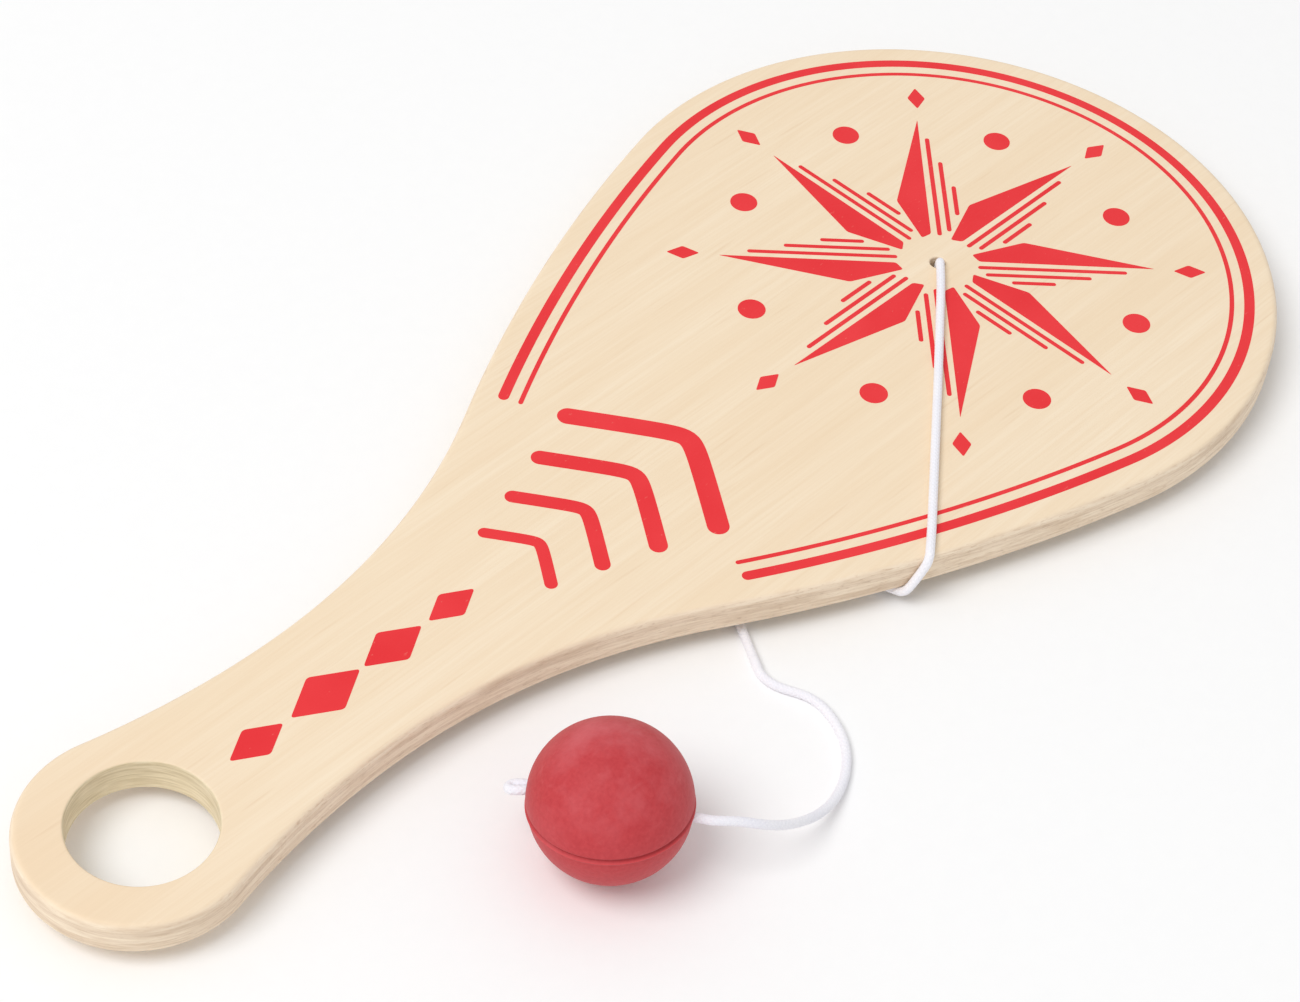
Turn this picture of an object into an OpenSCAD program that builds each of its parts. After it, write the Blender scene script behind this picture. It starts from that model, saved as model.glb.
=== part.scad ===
// Paddle ball game: a plywood paddle with a rubber ball tied to it by an elastic cord.
// Millimetres, Z up. The floor is z = 0, X runs from the handle end to the blade end,
// and the origin lies under the middle of the paddle.

/* [Paddle outline] */
// Length of the paddle, handle end to blade end
paddle_length = 270; // [255:1:290]
// Radius of the round blade end
blade_radius = 62; // [56:0.5:68]
// Where the blade's round ends, as an angle from the long axis
blade_turn = 104.5; // [100:0.5:110]
// Reach of the hollow neck's curve, for each unit that the bowed side's curve reaches
neck_reach = 0.77; // [0.6:0.01:1.2]
// Half of the grip's width at its narrow waist
waist_half = 14.5; // [13:0.25:16.5]
// Distance from the handle end to the waist
waist_from_end = 58; // [52:1:64]
// Radius of the round handle end
handle_radius = 19; // [18:0.25:21]

/* [Plywood] */
// Thickness of each outer veneer
veneer_thick = 1.27; // [1.2:0.01:1.6]
// Thickness of each crossband ply
crossband_thick = 1.27; // [0.8:0.01:2]
// Thickness of the core ply
core_thick = 1.27; // [0.8:0.01:3]
// Radius sanded on the paddle's outer edges
edge_round = 1.2; // [0.4:0.1:1.2]

/* [Holes] */
// Diameter of the finger hole in the handle
finger_hole_d = 23.6; // [18:0.2:26]
// Distance from the handle end to the finger hole's centre
finger_hole_from_end = 20; // [18:0.25:23]
// Radius sanded on the finger hole's two rims
rim_round = 0.5; // [0.2:0.1:1]
// How much wider the cord hole in the blade is than the cord
cord_hole_play = 1.2; // [1:0.1:2]
// Distance from the blade end to the cord hole
cord_hole_from_tip = 62; // [58:0.5:66]

/* [Ball] */
// Diameter of the rubber ball
ball_d = 26; // [22:0.5:30]
// Distance from the cord hole back to the ball's centre, along the paddle
ball_back = 135.5; // [130:0.5:140]
// Distance of the ball's centre from the paddle's long axis
ball_aside = 47.2; // [44:0.2:52]
// Distance of the mould seam below the ball's centre
seam_below_centre = 3.8; // [2:0.1:6]
// Tilt of the mould seam from level
seam_tilt = 20.5; // [0:0.5:30]
// Turn of the seam's tilt round the upright axis, from the cord's bore
seam_turn = 24; // [-60:1:60]
// Radius of the seam's rounded groove
seam_groove_r = 0.3; // [0.15:0.05:0.5]
// Depth of the pocket that takes the cord's folded end
pocket_depth = 5; // [3:0.5:8]

/* [Elastic cord] */
// Diameter of the round elastic cord
cord_d = 1.6; // [1.2:0.1:1.8]
// Running clearance round the cord inside the ball
bore_clearance = 0.05; // [0.02:0.01:0.1]
// Gap between the cord and the wood that it lies against
cord_gap = 0.05; // [0.02:0.01:0.2]
// Height of the stop knot behind the blade
knot_height = 3.2; // [2.8:0.1:4.5]
// Diameter of the stop knot
knot_d = 5.4; // [4.6:0.1:8]
// Radius of the end loop's bend, at the middle of the cord
loop_radius = 1.1; // [1:0.05:1.6]
// How far the end loop stands out of the ball
loop_reach = 3.5; // [2.8:0.1:6]
// How far the cord's straight end stands out of the ball on the other side
cord_stub = 0.3; // [0.2:0.1:1]

/* [Hidden] */
$fn = 64;

wood_face = [0.97, 0.89, 0.77];
wood_inner = [0.85, 0.76, 0.64];
elastic_white = [0.94, 0.94, 0.97];
rubber_red = [0.76, 0.27, 0.29];

// The sanding stays within the veneer
sanded_r = min(edge_round, veneer_thick);

// Heights, from the floor up
back_z = knot_height;
lower_crossband_z = back_z + veneer_thick;
core_z = lower_crossband_z + crossband_thick;
upper_crossband_z = core_z + core_thick;
face_veneer_z = upper_crossband_z + crossband_thick;
face_z = face_veneer_z + veneer_thick;
cut_past = 1;

// Centres of the outline's arcs, for the half with positive Y
handle_x = handle_radius - paddle_length / 2;
waist_x = waist_from_end - paddle_length / 2;
blade_x = paddle_length / 2 - blade_radius;
grip_span = waist_x - handle_x;
grip_radius = (grip_span * grip_span + waist_half * waist_half - handle_radius * handle_radius)
              / (2 * (handle_radius - waist_half));
handle_c = [handle_x, 0];
waist = [waist_x, waist_half];
grip_c = waist + [0, grip_radius];
blade_c = [blade_x, 0];
blade_out = [cos(blade_turn), sin(blade_turn)];
blade_end = blade_c + blade_radius * blade_out;

// The flank from the waist to the blade's round: two arcs that meet with one tangent.
// Each reaches along the tangent at its own end, and their reaches have the ratio neck_reach.
waist_ahead = [1, 0];
blade_ahead = [sin(blade_turn), -cos(blade_turn)];
flank = blade_end - waist;
flank_square = 2 * neck_reach * (1 - waist_ahead * blade_ahead);
flank_along = flank * (neck_reach * waist_ahead + blade_ahead);
side_span = (sqrt(flank_along * flank_along + flank_square * (flank * flank)) - flank_along) / flank_square;
neck_span = neck_reach * side_span;
flank_joint = (side_span * (waist + neck_span * waist_ahead)
               + neck_span * (blade_end - side_span * blade_ahead)) / (side_span + neck_span);
neck_chord = flank_joint - waist;
neck_radius = neck_chord * neck_chord / (2 * neck_chord.y);
neck_c = waist + [0, neck_radius];
side_chord = blade_end - flank_joint;
side_radius = side_chord * side_chord / (2 * (side_chord * blade_out));
side_c = blade_end - side_radius * blade_out;

finger_hole_x = finger_hole_from_end - paddle_length / 2;
cord_hole_x = paddle_length / 2 - cord_hole_from_tip;
cord_hole_d = cord_d + cord_hole_play;

// Cord levels: on the floor, on the face and against the back
cord_r = cord_d / 2;
floor_level = cord_r;
face_level = face_z + cord_r + cord_gap;
back_level = back_z - cord_r - cord_gap;

// Where the cord goes round the paddle's near edge, measured along X from the cord hole
wrap_x = cord_hole_x - 56.7;
wrap_turn = acos((wrap_x - side_c.x) / side_radius);
wrap_point = [wrap_x, -(side_c.y + side_radius * sin(wrap_turn))];
wrap_out = [cos(wrap_turn), -sin(wrap_turn)];
wrap_along = [-sin(wrap_turn), -cos(wrap_turn)];
wrap_clear = cord_r + cord_gap;
wrap_bend = (sanded_r + wrap_clear) * sin(45) - sanded_r;

// Where the ball lies, measured from the cord hole, and the heading of the cord out of it
ball_r = ball_d / 2;
ball_c = [cord_hole_x - ball_back, -ball_aside, ball_r];
bore_heading = -57;
bore_dir = [cos(bore_heading), sin(bore_heading), 0];
bore_r = cord_r + bore_clearance;
pocket_r = loop_radius + cord_r + bore_clearance;

// The straight stretch on which the cord leaves the paddle: where it starts and its heading
exit_start = [cord_hole_x - 80.7, -21.9, floor_level];
exit_heading = 240;
exit_dir = [cos(exit_heading), sin(exit_heading), 0];
lift_pivot_from_start = 14.5;
leader_length = 5.5;

// Route of the cord, one list of points for each stretch, joined end to end
blade_route = concat(
    [for (p = [[0, -0.4, back_z], [0, -0.4, back_z + 3], [0, -0.4, face_z - 0.6],
               [-0.4, -0.75, face_z + 0.75], [-1.8, -2, face_level], [-6, -5.6, face_level],
               [-14, -12, face_level], [-22, -18.4, face_level], [-30, -24.7, face_level],
               [-38, -31, face_level], [-46, -37.3, face_level], [-52, -42, face_level]])
        [cord_hole_x + p.x, p.y, p.z]],
    [by_edge(-sanded_r, 0, face_level),
     by_edge(wrap_bend, 0.9, face_z + wrap_bend),
     by_edge(wrap_clear, 1.8, face_z - sanded_r),
     by_edge(wrap_clear, 4, back_z + sanded_r),
     by_edge(wrap_bend, 4.9, back_z - wrap_bend),
     by_edge(-sanded_r, 5.8, back_level)],
    [for (p = [[-62.6, -38, floor_level + 0.7], [-64.2, -32, floor_level + 0.1],
               [-65.8, -26, floor_level + 0.02], [-68.1, -20.2, floor_level],
               [-73.8, -17.9, floor_level], [-77.8, -19, floor_level]])
        [cord_hole_x + p.x, p.y, p.z]]);
edge_route = [for (s = [0, 5, 10]) exit_start + s * exit_dir];
leader_route = [exit_start + lift_pivot_from_start * exit_dir];
leader_end = exit_start + (lift_pivot_from_start + leader_length) * exit_dir;
// The third number is the share of the ball's height that the cord has climbed
free_route = concat([leader_end],
    [for (p = [[-91.1, -41.3, 0], [-90.8, -43.6, 0], [-89.6, -45.9, 0], [-88.6, -48.6, 0],
               [-88.7, -51.8, 0], [-89.9, -55.4, 0], [-91.8, -58.7, 0], [-94.4, -61.4, 0.002],
               [-98, -63.8, 0.01], [-102.4, -65.6, 0.08], [-107.4, -66.6, 0.22], [-112.3, -66.8, 0.42],
               [-116.8, -66.3, 0.63], [-120.6, -65, 0.82], [-123.8, -62.8, 0.95]])
        [cord_hole_x + p.x, p.y, floor_level + p.z * (ball_r - floor_level)]],
    [for (s = [3, 1.5, 0]) ball_c + (ball_r + cord_stub + s) * bore_dir]);
route = concat(blade_route, edge_route, leader_route, free_route);

// The route rounded between its points, and where each stretch starts on it
route_steps = 2;
cord_line = rounded(route, route_steps);
edge_start = len(blade_route) * route_steps;
leader_start = edge_start + len(edge_route) * route_steps;
free_start = leader_start + len(leader_route) * route_steps;
free_end = len(cord_line) - 1;
cord_sides = 8;

function bearing(from, to) = atan2(to.y - from.y, to.x - from.x);

// Points on an arc, without its last one
function arc(centre, radius, a0, a1, steps) =
    [for (i = [0 : steps - 1]) let (a = a0 + (a1 - a0) * i / steps) centre + radius * [cos(a), sin(a)]];

// Half of the paddle's outline, set in by a margin: each arc keeps its centre
function half_outline(inset) = concat(
    arc(handle_c, handle_radius - inset, 180, bearing(handle_c, grip_c), 16),
    arc(grip_c, grip_radius + inset, bearing(handle_c, grip_c) - 180, -90, 5),
    arc(neck_c, neck_radius + inset, -90, bearing(neck_c, side_c), 9),
    arc(side_c, side_radius - inset, bearing(side_c, neck_c), bearing(side_c, blade_c), 8),
    arc(blade_c, blade_radius - inset, bearing(side_c, blade_c), 0, 22),
    [[paddle_length / 2 - inset, 0]]);

// The whole outline, the second half mirrored in the long axis
function outline(inset) =
    let (half = half_outline(inset))
    concat(half, [for (i = [len(half) - 2 : -1 : 1]) [half[i].x, -half[i].y]]);

// A place beside the wrapped edge: out from the wood, along the edge and up
function by_edge(out, along, z) =
    let (p = wrap_point + out * wrap_out + along * wrap_along) [p.x, p.y, z];

// A point between p1 and p2 on a smooth curve through four points
function between(p0, p1, p2, p3, t) =
    0.5 * (2 * p1 + (p2 - p0) * t + (2 * p0 - 5 * p1 + 4 * p2 - p3) * t * t
           + (3 * p1 - p0 - 3 * p2 + p3) * t * t * t);

function rounded(points, steps) =
    let (last = len(points) - 1)
    concat([for (i = [0 : last - 1]) for (k = [0 : steps - 1])
                between(points[max(i - 1, 0)], points[i], points[i + 1], points[min(i + 2, last)],
                        k / steps)],
           [points[last]]);

function unit(v) = v / norm(v);
function heading(path, i) = unit(path[min(i + 1, len(path) - 1)] - path[max(i - 1, 0)]);

// A direction square to the path, carried along it with no twist
function carried(path, i, side) = i == len(path) ? [] :
    let (ahead = heading(path, i), square = unit(side - (side * ahead) * ahead))
    concat([square], carried(path, i + 1, square));

cord_square = carried(cord_line, 0, [0, 1, 0]);

// A closed tube round one stretch of the cord's line
module cord_tube(first, last) {
    rings = last - first + 1;
    points = [for (i = [first : last]) for (k = [0 : cord_sides - 1])
        let (ahead = heading(cord_line, i), up = cord_square[i], turn = 360 * k / cord_sides)
        cord_line[i] + cord_r * (cos(turn) * up + sin(turn) * cross(ahead, up))];
    walls = [for (i = [0 : rings - 2]) for (k = [0 : cord_sides - 1])
        let (next = (k + 1) % cord_sides)
        [i * cord_sides + k, (i + 1) * cord_sides + k, (i + 1) * cord_sides + next, i * cord_sides + next]];
    first_cap = [for (k = [0 : cord_sides - 1]) k];
    last_cap = [for (k = [cord_sides - 1 : -1 : 0]) (rings - 1) * cord_sides + k];
    color(elastic_white) polyhedron(points, concat(walls, [first_cap, last_cap]));
}

// A ply with one sanded edge: flat at z = 0, its outline drawn in along a quarter round at the top.
// The flat faces are strips from each point of the outline to its mirror image.
module sanded_ply(thick) {
    round_steps = 4;
    rings = concat([[0, 0]], [for (i = [0 : round_steps]) let (a = 90 * i / round_steps)
        [sanded_r * (1 - cos(a)), thick - sanded_r * (1 - sin(a))]]);
    sides = len(outline(0));
    tip = sides / 2;
    top = (len(rings) - 1) * sides;
    points = [for (r = rings) for (p = outline(r[0])) [p.x, p.y, r[1]]];
    walls = [for (i = [0 : len(rings) - 2]) for (k = [0 : sides - 1])
        let (next = (k + 1) % sides)
        [i * sides + k, i * sides + next, (i + 1) * sides + next, (i + 1) * sides + k]];
    strips = concat([for (i = [0 : tip - 2]) [i, i + 1, sides - 1 - i]],
                    [for (i = [1 : tip - 1]) [i, sides - 1 - i, sides - i]]);
    top_faces = [for (f = strips) [top + f[0], top + f[1], top + f[2]]];
    under_faces = [for (f = strips) [f[2], f[1], f[0]]];
    polyhedron(points, concat(walls, top_faces, under_faces));
}

// A plain inner ply
module inner_ply(thick) {
    linear_extrude(thick) polygon(outline(0));
}

// The two holes that go through every ply
module drilled(z, thick) {
    difference() {
        children();
        translate([finger_hole_x, 0, z - cut_past])
            cylinder(h = thick + 2 * cut_past, d = finger_hole_d);
        translate([cord_hole_x, 0, z - cut_past])
            cylinder(h = thick + 2 * cut_past, d = cord_hole_d);
    }
}

// What sanding takes off the finger hole's rim on a face that looks up
module rim_sanding() {
    hole_r = finger_hole_d / 2;
    rotate_extrude() difference() {
        translate([hole_r - rim_round, -rim_round]) square([2 * rim_round, rim_round + cut_past]);
        translate([hole_r + rim_round, -rim_round]) circle(rim_round);
    }
}

module face_veneer() {
    color(wood_face) difference() {
        drilled(face_veneer_z, veneer_thick) translate([0, 0, face_veneer_z]) sanded_ply(veneer_thick);
        translate([finger_hole_x, 0, face_z]) rim_sanding();
    }
}

module upper_crossband() {
    color(wood_inner) drilled(upper_crossband_z, crossband_thick)
        translate([0, 0, upper_crossband_z]) inner_ply(crossband_thick);
}

module core_ply() {
    color(wood_face) drilled(core_z, core_thick) translate([0, 0, core_z]) inner_ply(core_thick);
}

module lower_crossband() {
    color(wood_inner) drilled(lower_crossband_z, crossband_thick)
        translate([0, 0, lower_crossband_z]) inner_ply(crossband_thick);
}

module back_veneer() {
    color(wood_face) difference() {
        drilled(back_z, veneer_thick)
            translate([0, 0, lower_crossband_z]) rotate([180, 0, 0]) sanded_ply(veneer_thick);
        translate([finger_hole_x, 0, back_z]) rotate([180, 0, 0]) rim_sanding();
    }
}

// The knot that stops the cord behind the blade, as a bead with a full round edge
module stop_knot() {
    bead_r = knot_height / 2;
    color(elastic_white) translate([cord_hole_x, 0, bead_r]) rotate_extrude() {
        translate([0, -bead_r]) square([knot_d / 2 - bead_r, knot_height]);
        intersection() {
            translate([knot_d / 2 - bead_r, 0]) circle(bead_r);
            translate([knot_d / 2 - bead_r, -bead_r]) square([bead_r, knot_height]);
        }
    }
}

module cord_on_blade() { cord_tube(0, edge_start); }

module cord_under_edge() { cord_tube(edge_start, leader_start); }

module cord_leader() { cord_tube(leader_start, free_start); }

module cord_free_run() { cord_tube(free_start, free_end); }

// Puts a shape made along +X on the axis of the ball's bore, with x = 0 at the ball's centre
module on_bore_axis() {
    translate(ball_c) rotate([0, 0, bore_heading]) children();
}

module along_x(from, to, radius) {
    translate([from, 0, 0]) rotate([0, 90, 0]) cylinder(h = to - from, r = radius);
}

module cord_in_ball() {
    color(elastic_white) on_bore_axis() along_x(pocket_depth - ball_r, ball_r + cord_stub, cord_r);
}

// The cord's end, folded back on itself and tucked into the ball
module end_loop() {
    bend_x = loop_radius + cord_r - ball_r - loop_reach;
    color(elastic_white) on_bore_axis() {
        for (side = [-1, 1])
            translate([0, side * loop_radius, 0]) along_x(bend_x, pocket_depth - ball_r, cord_r);
        translate([bend_x, 0, 0]) rotate([0, 0, 90])
            rotate_extrude(angle = 180) translate([loop_radius, 0]) circle(cord_r);
    }
}

module ball() {
    seam_r = sqrt(ball_r * ball_r - seam_below_centre * seam_below_centre);
    color(rubber_red) difference() {
        translate(ball_c) sphere(ball_r);
        on_bore_axis() along_x(-ball_d, ball_d, bore_r);
        on_bore_axis() along_x(-ball_d, pocket_depth - ball_r, pocket_r);
        translate(ball_c) rotate([0, 0, bore_heading + seam_turn]) rotate([-seam_tilt, 0, 0])
            translate([0, 0, -seam_below_centre])
                rotate_extrude() translate([seam_r, 0]) circle(seam_groove_r);
    }
}

face_veneer();
upper_crossband();
core_ply();
lower_crossband();
back_veneer();
stop_knot();
cord_on_blade();
cord_under_edge();
cord_leader();
cord_free_run();
cord_in_ball();
end_loop();
ball();
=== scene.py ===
import math
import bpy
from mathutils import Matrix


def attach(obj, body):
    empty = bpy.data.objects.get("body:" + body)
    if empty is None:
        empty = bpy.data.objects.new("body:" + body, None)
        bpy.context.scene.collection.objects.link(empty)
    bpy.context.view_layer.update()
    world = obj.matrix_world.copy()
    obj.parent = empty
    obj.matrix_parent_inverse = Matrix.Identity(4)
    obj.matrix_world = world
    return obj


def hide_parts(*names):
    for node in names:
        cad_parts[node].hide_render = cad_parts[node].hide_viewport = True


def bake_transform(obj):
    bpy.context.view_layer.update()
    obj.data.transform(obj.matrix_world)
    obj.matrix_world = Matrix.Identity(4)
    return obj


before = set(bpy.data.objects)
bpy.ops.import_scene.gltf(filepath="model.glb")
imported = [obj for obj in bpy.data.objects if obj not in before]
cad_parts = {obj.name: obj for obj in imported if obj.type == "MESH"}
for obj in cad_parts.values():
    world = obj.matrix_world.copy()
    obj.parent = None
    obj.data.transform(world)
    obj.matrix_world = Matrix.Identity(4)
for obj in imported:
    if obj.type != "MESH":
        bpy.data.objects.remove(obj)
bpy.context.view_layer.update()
from types import SimpleNamespace
import bmesh
import bpy
import numpy as np
from mathutils import Matrix, Vector

mm = 0.001  # sizes below are in mm, and newPiece turns them into metres
scene = bpy.context.scene
upward = np.array([0.0, 0.0, 1.0])
mirror = np.array([1.0, -1.0])  # turns the paddle's upper half into its lower one
print("frame loaded")

# Camera at the photo's angle, in metres
camera = {
    "place": (-0.31006, -0.24659, 0.40824),
    "aim": (-0.00939, -0.00581, 0.00955),
    "roll": 6.428,
    "lens": 91.93,
    "sensor": 36.0,
    "clipStart": 0.01,
}
eyeData = bpy.data.cameras.new("photoCamera")
eyeData.lens = camera["lens"]
eyeData.sensor_width = camera["sensor"]
eyeData.sensor_fit = "HORIZONTAL"
eyeData.clip_start = camera["clipStart"]
eye = bpy.data.objects.new("photoCamera", eyeData)
scene.collection.objects.link(eye)
gaze = Vector(camera["aim"]) - Vector(camera["place"])
eye.matrix_world = (
    Matrix.Translation(camera["place"])
    @ gaze.to_track_quat("-Z", "Y").to_matrix().to_4x4()
    @ Matrix.Rotation(math.radians(camera["roll"]), 4, "Z")
)
scene.camera = eye
print("camera placed")


def tint(red, green, blue):
    # A screen colour of 0 to 255 as a linear one, by the sRGB curve
    share = np.array([red, green, blue]) / 255.0
    linear = np.where(share <= 0.04045, share / 12.92, ((share + 0.055) / 1.055) ** 2.4)
    return (*linear.tolist(), 1.0)


def nodeMaker(tree):
    # Empties the tree and gives a function that adds one node, its sockets linked or set to a value
    tree.nodes.clear()

    def make(kind, inputs, **settings):
        node = tree.nodes.new(kind)
        for key, value in settings.items():
            setattr(node, key, value)
        for key, value in inputs.items():
            if isinstance(value, bpy.types.NodeSocket):
                tree.links.new(value, node.inputs[key])
            else:
                node.inputs[key].default_value = value
        return node

    return make


def newMaterial(name):
    # An empty material with the few kinds of node that the looks below are made of
    material = bpy.data.materials.new(name)
    material.use_nodes = True
    make = nodeMaker(material.node_tree)
    where = make("ShaderNodeTexCoord", {}).outputs["Object"]

    def noise(scale, size=1.0, detail=3.0, rough=0.55):
        spread = make("ShaderNodeMapping", {"Vector": where, "Scale": scale})
        grain = {"Vector": spread.outputs[0], "Scale": size, "Detail": detail, "Roughness": rough}
        return make("ShaderNodeTexNoise", grain).outputs["Fac"]

    def ramp(value, low, high, bottom=0.0, top=1.0):
        ends = {"Value": value, "From Min": low, "From Max": high, "To Min": bottom, "To Max": top}
        return make("ShaderNodeMapRange", ends, clamp=True).outputs[0]

    def maths(operation, first, second=0.0):
        return make("ShaderNodeMath", {0: first, 1: second}, operation=operation).outputs[0]

    def fromPoint(operation, point):
        return make("ShaderNodeVectorMath", {0: where, 1: point}, operation=operation).outputs["Value"]

    def blendColour(share, first, second):
        return make("ShaderNodeMix", {0: share, 6: first, 7: second}, data_type="RGBA").outputs[2]

    def upright():
        normal = make("ShaderNodeNewGeometry", {}).outputs["Normal"]
        return make("ShaderNodeSeparateXYZ", {"Vector": normal}).outputs[2]

    def finishWith(colour, rough, bumpHeight, bumpDepth, **more):
        bump = make("ShaderNodeBump", {"Height": bumpHeight, "Strength": 1.0, "Distance": bumpDepth})
        skin = {"Base Color": colour, "Roughness": rough, "Normal": bump.outputs[0]}
        shader = make("ShaderNodeBsdfPrincipled", {**skin, **more})
        make("ShaderNodeOutputMaterial", {"Surface": shader.outputs[0]})
        return material

    return SimpleNamespace(
        make=make, where=where, noise=noise, ramp=ramp, maths=maths, fromPoint=fromPoint,
        blendColour=blendColour, upright=upright, finishWith=finishWith,
    )


def newPiece(name, grids, material, smooth=True, weld=1e-6):
    # Each grid is a pair of arrays: corner places in mm and the four corners of each face
    starts = np.cumsum([0] + [len(grid[0]) for grid in grids])
    places = np.concatenate([grid[0] for grid in grids]) * mm
    faces = np.concatenate([grid[1] + start for grid, start in zip(grids, starts)])
    mesh = bpy.data.meshes.new(name)
    mesh.from_pydata(places, [], faces.tolist())
    work = bmesh.new()
    work.from_mesh(mesh)
    bmesh.ops.remove_doubles(work, verts=work.verts, dist=weld)
    bmesh.ops.dissolve_degenerate(work, edges=work.edges, dist=weld / 10)
    bmesh.ops.recalc_face_normals(work, faces=work.faces)
    work.to_mesh(mesh)
    work.free()
    mesh.materials.append(material)
    mesh.polygons.foreach_set("use_smooth", np.full(len(mesh.polygons), smooth))
    piece = bpy.data.objects.new(name, mesh)
    scene.collection.objects.link(piece)
    return piece


def gridFaces(rows, columns, closed):
    # Faces between neighbouring rows and columns, round to the first column if closed
    row, column = np.meshgrid(np.arange(rows - 1), np.arange(columns - (not closed)), indexing="ij")
    row, column = row.ravel(), column.ravel()
    after = (column + 1) % columns
    here, above = row * columns, (row + 1) * columns
    return np.column_stack([here + column, here + after, above + after, above + column])


def unit(vectors):
    # Each vector divided by its length
    return vectors / np.linalg.norm(vectors, axis=-1, keepdims=True)


def atHeight(flat, height):
    # Flat points lifted to one height
    return np.column_stack([flat, np.full(len(flat), height)])


def circle(x, y, radius):
    # A flat circle by its middle and radius, for arcs and holes
    return SimpleNamespace(middle=np.array([x, y]), radius=radius)


# The paddle's outline: tangent arcs from the handle's end to the blade's tip, upper half
paddle = {
    "length": 270.0,
    "bladeRadius": 62.0,
    "bladeTurn": 104.5,  # degrees from the tip to where the side takes over
    "neckReach": 0.77,  # the neck's tangent as a share of the side's
    "waistHalf": 14.5,
    "waistFromEnd": 58.0,
    "handleRadius": 19.0,
    "standsAt": 3.2,  # the paddle lies on its knot
    "plies": 5,
    "plyThick": 1.27,
    "sanded": 1.2,
    "seamNick": 0.015,
    "fingerHole": 23.6,
    "fingerHoleFromEnd": 20.0,
    "cordHole": 2.8,
    "cordHoleFromTip": 62.0,
    "holeRound": 0.4,
    "arcSteps": (72, 24, 30, 30, 90),
    "edgeSteps": 9,
    "edgeLap": 0.35,  # flat strip beside each rounding
    "wallShare": 0.12,  # where the wall's inner rows lie, as a share of its height
    "faceRows": 6,
    "closing": 9,  # columns that close each hole's round towards the middle line
    "cordSideX": 12.0,  # where the columns begin to turn about the cord hole
    "rimGap": 1.0,
}
backZ = paddle["standsAt"]
faceZ = backZ + paddle["plies"] * paddle["plyThick"]
tipX = paddle["length"] / 2
cordHoleX = tipX - paddle["cordHoleFromTip"]
waist = np.array([paddle["waistFromEnd"] - tipX, paddle["waistHalf"]])
handle = circle(paddle["handleRadius"] - tipX, 0.0, paddle["handleRadius"])
blade = circle(tipX - paddle["bladeRadius"], 0.0, paddle["bladeRadius"])
fingerHole = circle(paddle["fingerHoleFromEnd"] - tipX, 0.0, paddle["fingerHole"] / 2)
cordHole = circle(cordHoleX, 0.0, paddle["cordHole"] / 2)


def bearing(start, end):
    # Degrees from the paddle's length to the line between two points
    return math.degrees(math.atan2(end[1] - start[1], end[0] - start[0]))


def sideArcs():
    # The neck and the side as two arcs that are tangent at the waist, at their joint and at the blade.
    # Their tangents, neckReach * span and span long, end as far apart as they are long together
    turn = math.radians(paddle["bladeTurn"])
    bladeOut = np.array([math.cos(turn), math.sin(turn)])
    bladeAhead = np.array([bladeOut[1], -bladeOut[0]])
    waistAhead = np.array([1.0, 0.0])
    bladeEnd = blade.middle + blade.radius * bladeOut
    flank = bladeEnd - waist
    square = 2 * paddle["neckReach"] * (1 - waistAhead @ bladeAhead)
    along = flank @ (paddle["neckReach"] * waistAhead + bladeAhead)
    span = (math.sqrt(along**2 + square * (flank @ flank)) - along) / square
    neckSpan = paddle["neckReach"] * span
    neckTangent = waist + neckSpan * waistAhead
    sideTangent = bladeEnd - span * bladeAhead
    joint = (span * neckTangent + neckSpan * sideTangent) / (span + neckSpan)
    neckChord, sideChord = joint - waist, bladeEnd - joint
    neckRadius = neckChord @ neckChord / (2 * neckChord[1])
    sideRadius = sideChord @ sideChord / (2 * (sideChord @ bladeOut))
    neck = circle(waist[0], waist[1] + neckRadius, neckRadius)
    side = circle(*(bladeEnd - sideRadius * bladeOut), sideRadius)
    return neck, side, joint


def arcRun(arc, fromTurn, toTurn, count, hollow=False):
    # Points and outward directions along one arc, middle + radius * direction, without its last point
    turn = np.radians(np.linspace(fromTurn, toTurn, count, endpoint=False))
    out = np.column_stack([np.cos(turn), np.sin(turn)])
    return arc.middle + arc.radius * out, -out if hollow else out


gripSpan = waist[0] - handle.middle[0]
gripSquare = gripSpan**2 + waist[1] ** 2 - handle.radius**2
gripRadius = gripSquare / (2 * (handle.radius - waist[1]))  # touches the handle and the waist
grip = circle(waist[0], waist[1] + gripRadius, gripRadius)
neck, side, joint = sideArcs()
handleEnd = bearing(handle.middle, grip.middle)
steps = paddle["arcSteps"]
arcs = [
    arcRun(handle, 180, handleEnd, steps[0]),
    arcRun(grip, handleEnd - 180, -90, steps[1], True),
    arcRun(neck, -90, bearing(neck.middle, joint), steps[2], True),
    arcRun(side, bearing(side.middle, joint), paddle["bladeTurn"], steps[3]),
    arcRun(blade, paddle["bladeTurn"], 0, steps[4]),
]
halfEdge = np.vstack([arc[0] for arc in arcs] + [[[tipX, 0.0]]])
halfOut = np.vstack([arc[1] for arc in arcs] + [[[1.0, 0.0]]])
loopEdge = np.vstack([halfEdge, halfEdge[-2:0:-1] * mirror])
loopOut = np.vstack([halfOut, halfOut[-2:0:-1] * mirror])
print("outline drawn", len(loopEdge))

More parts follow.
